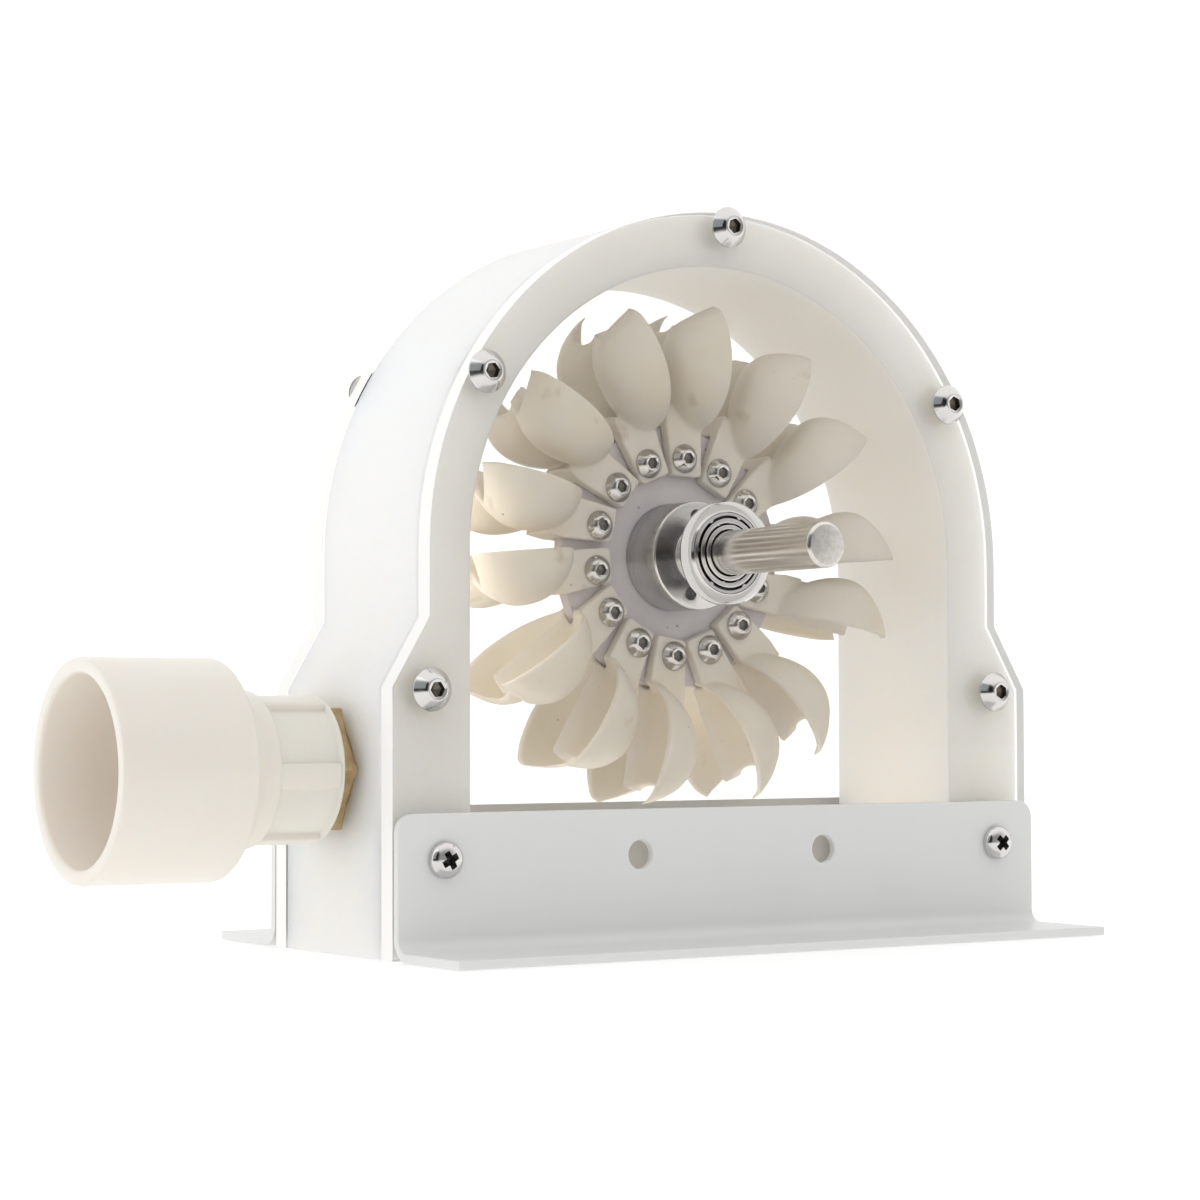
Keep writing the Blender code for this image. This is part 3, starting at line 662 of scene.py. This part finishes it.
def build_bearings(looks):
    outer = rounded([(BEARING_R, 1.9), (BEARING_R, BEARING_WIDTH), (9.2, BEARING_WIDTH),
                     (9.2, 0.25), (9.5, 0.25)], 0.25)
    shield = rounded([(9.1, 1.6), (9.1, 1.9), (6.75, 1.9), (6.75, 0.2), (7.8, 0.2), (7.8, 1.6)],
                     0.12)
    rear_shield = rounded([(9.1, 5.5), (9.1, 5.7), (6.65, 5.7), (6.65, 5.5)], 0.05)
    inner = rounded([(6.3, 0.0), (6.3, BEARING_WIDTH), (BORE_R, BEARING_WIDTH), (BORE_R, 0.0)], 0.2)
    for end, place, flip in (("front", 0.0, 1), ("back", DEPTH, -1)):
        bearing_ring(looks, end + "_bearing_outer_race", place, flip, outer, "housing",
                     [end + "_bearing_outer_ring"])
        bearing_ring(looks, end + "_bearing_shield", place, flip, shield, "housing")
        bearing_ring(looks, end + "_bearing_rear_shield", place, flip, rear_shield, "housing")
        bearing_ring(looks, end + "_bearing_inner_race", place, flip, inner, "runner",
                     [end + "_bearing_inner_ring"])
        snap_ring(looks, end, place, flip)


def snap_ring(looks, end, place, flip):
    """Retaining ring with notches on its inner edge, proud of the shield's groove."""
    steps, notches = 180, (12, 35, 62, 88, 118, 150)
    inner_r, notch_r, outer_r, top, bottom = 8.45, 8.05, 9.1, 0.45, 0.9
    bm = bmesh.new()
    rings = [[], [], [], []]
    for k in range(steps):
        angle = 2 * math.pi * k / steps
        notch = any(abs(k - middle) <= 1 for middle in notches)
        inner = notch_r if notch else inner_r
        section = ((inner, top), (outer_r, top), (outer_r, bottom), (inner, bottom))
        for ring, (radius, depth) in zip(rings, section):
            spot = Vector((radius * math.cos(angle), radius * math.sin(angle), -depth * flip))
            ring.append(bm.verts.new(place_y(place) @ spot))
    for lower, upper in zip(rings, rings[1:] + rings[:1]):
        bridge(bm, lower, upper)
    bmesh.ops.recalc_face_normals(bm, faces=bm.faces)
    add_piece(end + "_bearing_snap_ring", bm, looks["chrome"], "housing")


def build_hub(looks):
    """Drum on the disc with a narrow neck towards the bearing and two small holes in its face."""
    neck_r, edge, hole_circle, hole_r, hole_angles = 6.6, 0.3, 9.05, 1.5, (-5, -165)
    disc_face = RUNNER_Y - DISC_HALF
    face = disc_face - HUB_FRONT_Y
    neck = disc_face - BEARING_WIDTH - GAP
    bm = bmesh.new()
    profile = rounded([(BORE_R, neck), (neck_r, neck), (neck_r, face), (HUB_R - edge, face),
                       (HUB_R, face - edge), (HUB_R, GAP), (BORE_R, GAP)], 0.15, 2)
    lathe(bm, profile, 128, place_y(disc_face))
    block = temporary("hub_block", bm)
    bm = bmesh.new()
    for angle in hole_angles:
        x = hole_circle * math.sin(math.radians(angle))
        z = SHAFT_Z + hole_circle * math.cos(math.radians(angle))
        lathe(bm, [(0.0, -9.0), (hole_r, -9.0), (hole_r, 4.0), (0.0, 4.0)], 32,
              place_y(HUB_FRONT_Y, z, x), False)
    drill = temporary("hub_drill", bm)
    boolean(block, drill, "DIFFERENCE")
    mesh = evaluated_copy(block)
    remove(block, drill)
    add_mesh_piece("hub_turned_drum", mesh, looks["aluminium"], "runner", ["hub"])


def build_disc(looks):
    bm = bmesh.new()
    profile = rounded([(BORE_R, -DISC_HALF), (DISC_R, -DISC_HALF), (DISC_R, DISC_HALF),
                       (BORE_R, DISC_HALF)], 0.25)
    lathe(bm, profile, 160, place_y(RUNNER_Y))
    add_piece("runner_disc_plate", bm, looks["disc"], "runner", ["runner_disc"])


def ellipse(offset, reach):
    return math.sqrt(max(0.0, 1 - (offset / reach) ** 2))


def cup_section(share, steps):
    """Inside and outside of one cup across the bucket, at a share of the way from root to tip."""
    root, widest, deepest, tip, ridge_end = 28.8, 44.5, 48.5, 58.2, 54.7
    width, tip_reach, depth_most, deep_reach = 17.0, 19.2, 12.3, 13.8
    wall, rim_v, sweep, valley, round_reach, round_in = 1.8, 5.5, 3.2, 0.62, 3.0, 2.4
    rim_u = root + (tip - root) * share
    half = width * ellipse(rim_u - widest, widest - root if rim_u < widest else tip_reach)
    if rim_u > tip - round_reach:
        half -= round_in * (1 - ellipse(rim_u - tip + round_reach, round_reach))
    half = max(half, 1.0)
    if rim_u < deepest:
        depth = depth_most * ellipse(rim_u - deepest, deepest - root) ** 1.2
    else:
        depth = depth_most * ellipse(rim_u - deepest, deep_reach)
    depth = max(depth, 1.0)
    ridge = root + (ridge_end - root) * share
    inner_half, inner_depth = max(half - wall, 0.5), max(depth - wall, 0.5)
    inner, outer = [], []
    for k in range(steps + 1):
        angle = math.pi * k / steps
        across = (1 - math.cos(angle)) / 2
        u = ridge + (rim_u - ridge) * across - sweep * share ** 2 * math.sin(angle)
        inner.append(Vector((rim_v - inner_depth * math.sin(angle), inner_half * across, u)))
        if angle < math.pi / 2:
            fall = depth * (valley + (1 - valley) * math.sin(angle) ** 1.6)
        else:
            fall = depth * math.sin(angle)
        outer.append(Vector((rim_v - fall, half * across, u)))
    return inner, outer


def cup_half(bm, side):
    stations, steps, last_shares = 30, 20, (0.925, 0.955, 0.98, 1.0)
    rows = []
    for station in range(stations + 1):
        t = station / stations
        share = (t + 1 - math.cos(t * math.pi / 2)) / 2
        if station >= stations - 3:
            share = last_shares[station - stations + 3]
        inner, outer = cup_section(share, steps)
        rows.append([bm.verts.new((p.x, p.y * side, p.z)) for p in inner + outer[::-1]])
    for lower, upper in zip(rows, rows[1:]):
        bridge(bm, lower, upper)
    for row in (rows[0], rows[-1]):
        for k in range(steps):
            last = len(row) - 1 - k
            bm.faces.new((row[k], row[k + 1], row[last - 1], row[last]))


def melt(item, name, size):
    """One skin of small even faces, which takes in all loose shells."""
    remesh = item.modifiers.new(name, "REMESH")
    remesh.mode = "VOXEL"
    remesh.voxel_size = size


def bucket_shape():
    """Cup halves and lug grown together into one cast skin with soft edges."""
    voxel, slot_r, slot_half = 0.4, 31.0, 1.8
    bm = bmesh.new()
    for side in (-1, 1):
        cup_half(bm, side)
    bmesh.ops.recalc_face_normals(bm, faces=bm.faces)
    cup = temporary("cup", bm)
    outline = [(4.65, 18.7), (5.0, 19.4), (5.0, 29.8), (-4.9, 36.0), (-4.9, 31.0), (-3.0, 19.4),
               (-2.65, 18.7)]
    bm = bmesh.new()
    close_prism(bm, [[bm.verts.new((v, y, u)) for v, u in outline] for y in (-LUG_HALF, LUG_HALF)])
    lug = temporary("lug", bm)
    bm = bmesh.new()
    lathe(bm, [(0.0, -slot_half), (slot_r, -slot_half), (slot_r, slot_half), (0.0, slot_half)], 128,
          AXIS_Y, False)
    slot = temporary("slot", bm)
    melt(cup, "remesh", voxel)
    boolean(cup, lug, "UNION")
    boolean(cup, slot, "DIFFERENCE")
    melt(cup, "remesh again", voxel)
    smooth = cup.modifiers.new("smooth", "SMOOTH")
    smooth.factor = 0.5
    smooth.iterations = 8
    fewer = cup.modifiers.new("fewer", "DECIMATE")
    fewer.ratio = 0.3
    mesh = evaluated_copy(cup)
    remove(cup, lug, slot)
    return mesh


def build_buckets(looks):
    shape = bucket_shape()
    to_screw = Matrix.Translation((0.0, 0.0, SCREW_U))
    centre = Matrix.Translation((0.0, RUNNER_Y, SHAFT_Z))
    for k, lean in enumerate(LEANS):
        mesh = shape.copy()
        turn = Matrix.Rotation(FIRST_ANGLE + 2 * math.pi * k / len(LEANS), 4, "Y")
        tilt = Matrix.Rotation(math.radians(lean), 4, "Y")
        mesh.transform(centre @ turn @ to_screw @ tilt @ to_screw.inverted())
        name = "bucket_%02d" % (k + 1)
        add_mesh_piece(name + "_casting", mesh, looks["resin"], "runner", [name],
                       60)


def button_screw(bm, place, radius, height, socket, turn, steps):
    """Button head with a hexagon socket; local Z points away from the seat."""
    mouth, flat, shoulder, shoulder_r = socket * 0.76, socket / 2, 0.46, radius * 0.975
    dome = [(radius * 0.95, 0.0), (radius * 0.99, 0.06), (radius, 0.18), (radius * 0.995, 0.34),
            (shoulder_r, shoulder)]
    for k in range(1, 9):
        t = k / 8
        rise = 0.55 * t + 0.45 * math.sin(t * math.pi / 2)
        dome.append((shoulder_r + (mouth - shoulder_r) * t, shoulder + (height - shoulder) * rise))
    dome += [(mouth - 0.1, height), (mouth - socket * 0.08, height - 0.02)]
    hexagon = [(flat * 1.02, height - 0.16), (flat, height - 0.3), (flat, height - socket * 0.55)]
    bottom = [(flat * 0.5, height - socket * 0.62), (flat * 0.1, height - socket * 0.72)]
    rings = []
    for level, six_sided in ([(p, False) for p in dome] + [(p, True) for p in hexagon]
                             + [(p, False) for p in bottom]):
        ring = []
        for k in range(steps):
            angle = 2 * math.pi * k / steps
            reach = level[0]
            if six_sided:
                reach = level[0] / math.cos((angle - turn) % (math.pi / 3) - math.pi / 6)
            spot = Vector((reach * math.cos(angle), reach * math.sin(angle), level[1]))
            ring.append(bm.verts.new(place @ spot))
        rings.append(ring)
    # the socket's walls and bottom take the dark painted shade
    for index, (lower, upper) in enumerate(zip(rings, rings[1:])):
        for face in bridge(bm, lower, upper):
            face.material_index = 1 if index > len(dome) else 0
    bm.faces.new(rings[-1]).material_index = 1
    bm.faces.new(rings[0][::-1])


def cross_screw(bm, place, radius, height, turn):
    """Pan head with a tapered cross recess."""
    edge, roundness = 0.5, 0.75
    head = bmesh.new()
    profile = [(0.0, 0.0), (radius * 0.97, 0.0), (radius, 0.15), (radius, edge)]
    for k in range(1, 10):
        t = k / 9 * math.pi / 2
        profile.append((radius * math.cos(t) ** roundness, edge + (height - edge) * math.sin(t)))
    profile[-1] = (0.0, height)
    lathe(head, profile, 48, Matrix.Identity(4), False)
    block = temporary("head_block", head)
    recess = bmesh.new()
    sunk = Matrix.Translation((0.0, 0.0, height - 0.5))
    narrow = Matrix.Diagonal((1.0, 0.36, 1.0, 1.0))
    squared = Matrix.Rotation(math.pi / 4, 4, "Z")
    for quarter in range(2):
        turned = Matrix.Rotation(turn + quarter * math.pi / 2, 4, "Z")
        bmesh.ops.create_cone(recess, cap_ends=True, segments=4, radius1=1.3, radius2=3.7,
                              depth=2.6, matrix=turned @ sunk @ narrow @ squared)
    cross = temporary("cross_block", recess)
    boolean(block, cross, "DIFFERENCE", True)
    mesh = evaluated_copy(block)
    remove(block, cross)
    # the cross recess's walls take the near-black painted shade
    for face in mesh.polygons:
        spot = face.center
        across = min(1.0, math.hypot(spot.x, spot.y) / radius) ** (1 / roundness)
        crown = edge + (height - edge) * math.sqrt(1 - across ** 2)
        face.material_index = 2 if 0.1 < spot.z < crown - 0.12 and across < 0.7 else 0
    mesh.transform(place)
    bm.from_mesh(mesh)


def build_screws(looks):
    """Six pieces of joined screw heads; the back's ones are turned round."""
    rng = random.Random(7)
    metal = [looks["chrome"], looks["dark"], looks["gap"]]
    turned_round = Matrix.Rotation(math.pi, 4, "X")
    upright = Matrix.Rotation(0.0, 4, "X")
    for name, y, side in (("front_panel_screws", 0.0, upright),
                          ("back_panel_screws", DEPTH, turned_round)):
        bm = bmesh.new()
        for x, z in PANEL_SCREWS:
            turn = rng.uniform(0, math.pi / 3)
            button_screw(bm, place_y(y, z, x) @ side, *PANEL_HEAD, turn, 48)
        add_piece(name, bm, metal, "housing")
    for name, y, side in (("runner_screws_front", RUNNER_Y - LUG_HALF, upright),
                          ("runner_screws_back", RUNNER_Y + LUG_HALF, turned_round)):
        bm = bmesh.new()
        for k in range(len(LEANS)):
            angle = FIRST_ANGLE + 2 * math.pi * k / len(LEANS)
            x, z = SCREW_U * math.sin(angle), SHAFT_Z + SCREW_U * math.cos(angle)
            turn = rng.uniform(0, math.pi / 3)
            button_screw(bm, place_y(y, z, x) @ side, *RUNNER_HEAD, turn, 36)
        add_piece(name, bm, metal, "runner")
    for name, y, side in (("front_bracket_screws", -SHEET - GAP, upright),
                          ("back_bracket_screws", DEPTH + SHEET + GAP, turned_round)):
        bm = bmesh.new()
        for x, z in BRACKET_SCREWS:
            cross_screw(bm, place_y(y, z, x) @ side, *BRACKET_HEAD, rng.uniform(0.2, 1.2))
        add_piece(name, bm, metal, "housing")


def build_camera():
    """The photograph's view, fitted to the outline of the object."""
    yaw, pitch, roll = (math.radians(angle) for angle in (-33.19, 2.39, -0.19))
    place, focal_pixels, image_pixels, sensor = (-389.4, -542.0, 49.1), 2978.8, 1200, 36.0
    forward = Vector((-math.sin(yaw) * math.cos(pitch), math.cos(yaw) * math.cos(pitch),
                      math.sin(pitch)))
    right = forward.cross(Vector(UPWARD)).normalized()
    up = right.cross(forward)
    turned_right = right * math.cos(roll) + up * math.sin(roll)
    turned_up = up * math.cos(roll) - right * math.sin(roll)
    data = bpy.data.cameras.new("camera")
    data.sensor_width = sensor
    data.lens = focal_pixels * sensor / image_pixels
    data.clip_start = 0.01
    camera = link(bpy.data.objects.new("camera", data))
    rotation = Matrix((turned_right, turned_up, -forward)).transposed().to_4x4()
    camera.matrix_world = Matrix.Translation(TO_ROW @ Vector(place)) @ rotation
    bpy.context.scene.camera = camera


def area_light(name, place, target, size, power, colour, hidden):
    """A hidden light isn't seen itself, nor mirrored, nor seen through the clear sheets."""
    data = bpy.data.lights.new(name, "AREA")
    data.shape = "RECTANGLE"
    data.size, data.size_y = size
    data.energy = power
    data.color = colour
    light = link(bpy.data.objects.new(name, data))
    light.location = place
    light.rotation_euler = (Vector(target) - Vector(place)).to_track_quat("-Z", "Y").to_euler()
    light.visible_camera = not hidden
    light.visible_glossy = not hidden
    light.visible_transmission = not hidden


def tent_brightness(tree, direction, low=0.33):
    """White tent, dimmer on the photographer's side and white again overhead."""
    tent = map_range(tree, towards(tree, direction, TO_PHOTOGRAPHER), (0.15, 0.85, 1.04, low))
    overhead = map_range(tree, towards(tree, direction, UPWARD), (0.35, 0.85, 0.0, 0.9))
    return blend(tree, overhead, tent, 1.08)


def build_floor():
    """Pale table that goes over into the tent; polished metal also mirrors a dark room in it."""
    floor_r, sunk, seen_white, tent_gain = 6.0, 0.0003, 1.27, 1.22
    bm = bmesh.new()
    bmesh.ops.create_circle(bm, cap_ends=True, radius=floor_r, segments=96)
    mesh = bpy.data.meshes.new("floor")
    bm.to_mesh(mesh)
    bm.free()
    floor = link(bpy.data.objects.new("floor", mesh))
    floor.location = (0.0, 0.0, -sunk)
    pale = Look("pale_floor_look", (0.60, 0.60, 0.60), 0.6, Emission_Strength=0.5)
    pale.set("Emission Color", (*WHITE, 1.0))
    mesh.materials.append(pale.material)
    tree = pale.tree
    place = pale.node("ShaderNodeTexCoord")
    outward = pale.node("ShaderNodeVectorMath", operation="NORMALIZE")
    pale.wire(place.outputs["Object"], outward.inputs[0])
    distance = pale.node("ShaderNodeVectorMath", operation="LENGTH")
    pale.wire(place.outputs["Object"], distance.inputs[0])
    path = pale.node("ShaderNodeLightPath")

    # far from the object the floor takes on the tent's brightness in that direction
    far = pale.node("ShaderNodeEmission")
    bounced = calculate(tree, "ADD", path.outputs["Diffuse Depth"], path.outputs["Glossy Depth"])
    bounced = calculate(tree, "MINIMUM", bounced, 1.0)
    tent = calculate(tree, "MULTIPLY", tent_brightness(tree, outward.outputs[0]), tent_gain)
    pale.wire(blend(tree, bounced, seen_white, tent), far.inputs["Strength"])
    ground = pale.node("ShaderNodeMixShader")
    pale.wire(pale.ramp(distance.outputs["Value"], 0.5, 1.1), ground.inputs[0])
    pale.wire(pale.shader.outputs[0], ground.inputs[1])
    pale.wire(far.outputs[0], ground.inputs[2])

    mirror = calculate(tree, "MINIMUM", path.outputs["Glossy Depth"], 1.0)
    room = map_range(tree, towards(tree, outward.outputs[0], TO_DARK_FLOOR), (0.82, 0.94, 0.0, 0.9))
    room = calculate(tree, "MULTIPLY", room, pale.ramp(distance.outputs["Value"], 0.25, 0.5))
    room = calculate(tree, "SUBTRACT", 1.0, room)
    black = pale.node("ShaderNodeEmission", Strength=0.0)
    shown = pale.node("ShaderNodeMixShader")
    pale.wire(blend(tree, mirror, 1.0, room), shown.inputs[0])
    pale.wire(black.outputs[0], shown.inputs[1])
    pale.wire(ground.outputs[0], shown.inputs[2])
    output = next(node for node in tree.nodes if node.type == "OUTPUT_MATERIAL")
    pale.wire(shown.outputs[0], output.inputs["Surface"])


def build_lights():
    area_light("key_left", (-1.1, -0.3, 0.7), (0.0, 0.0, 0.08), (1.2, 1.2), 1.6,
               (0.88, 0.95, 1.0), False)
    # light that comes back from the white table under the open housing
    area_light("floor_bounce", (0.0294, 0.0042, 0.003), (0.0294, 0.0042, 1.0), (0.12, 0.04), 0.017,
               (1.0, 0.95, 0.88), True)
    # light that the milky wall lets through
    area_light("wall_glow", (-0.0333, 0.0042, 0.075), (0.1, 0.0042, 0.075), (0.036, 0.09), 0.010,
               (1.0, 0.95, 0.87), True)


def build_world():
    """White behind the object, the tent's brightness on it, a dark room in polished metal."""
    seen_white, inside_low, inside_gain = 1.3, 0.92, 1.55
    world = bpy.data.worlds.new("studio")
    world.use_nodes = True
    world.cycles.sampling_method = "NONE"
    tree = world.node_tree
    direction = tree.nodes.new("ShaderNodeTexCoord").outputs["Generated"]
    path = tree.nodes.new("ShaderNodeLightPath").outputs
    tent = tent_brightness(tree, direction)
    room = map_range(tree, towards(tree, direction, TO_DARK_ROOM), (0.80, 0.92, 1.0, 0.06))
    mirrored = calculate(tree, "MULTIPLY", tent, room)
    # more light than from the tent's dim side reaches the chamber through the clear sheets
    inside = calculate(tree, "MULTIPLY", tent_brightness(tree, direction, inside_low), inside_gain)
    lighting = blend(tree, path["Is Transmission Ray"], tent, inside)
    diffuse = calculate(tree, "MINIMUM", path["Diffuse Depth"], 1.0)
    glossy = calculate(tree, "MINIMUM", path["Glossy Depth"], 1.0)
    strength = blend(tree, glossy, blend(tree, diffuse, seen_white, lighting), mirrored)
    background = tree.nodes["Background"]
    tree.links.new(strength, background.inputs["Strength"])
    background.inputs["Color"].default_value = (*WHITE, 1.0)
    bpy.context.scene.world = world


build_camera()
all_looks = make_looks()
for build in (build_band, build_panels, build_brackets, build_adapter, build_nozzle, build_shaft,
              build_bearings, build_hub, build_disc, build_buckets, build_screws):
    build(all_looks)
build_floor()
build_world()
build_lights()
bpy.context.scene.view_settings.view_transform = "Standard"
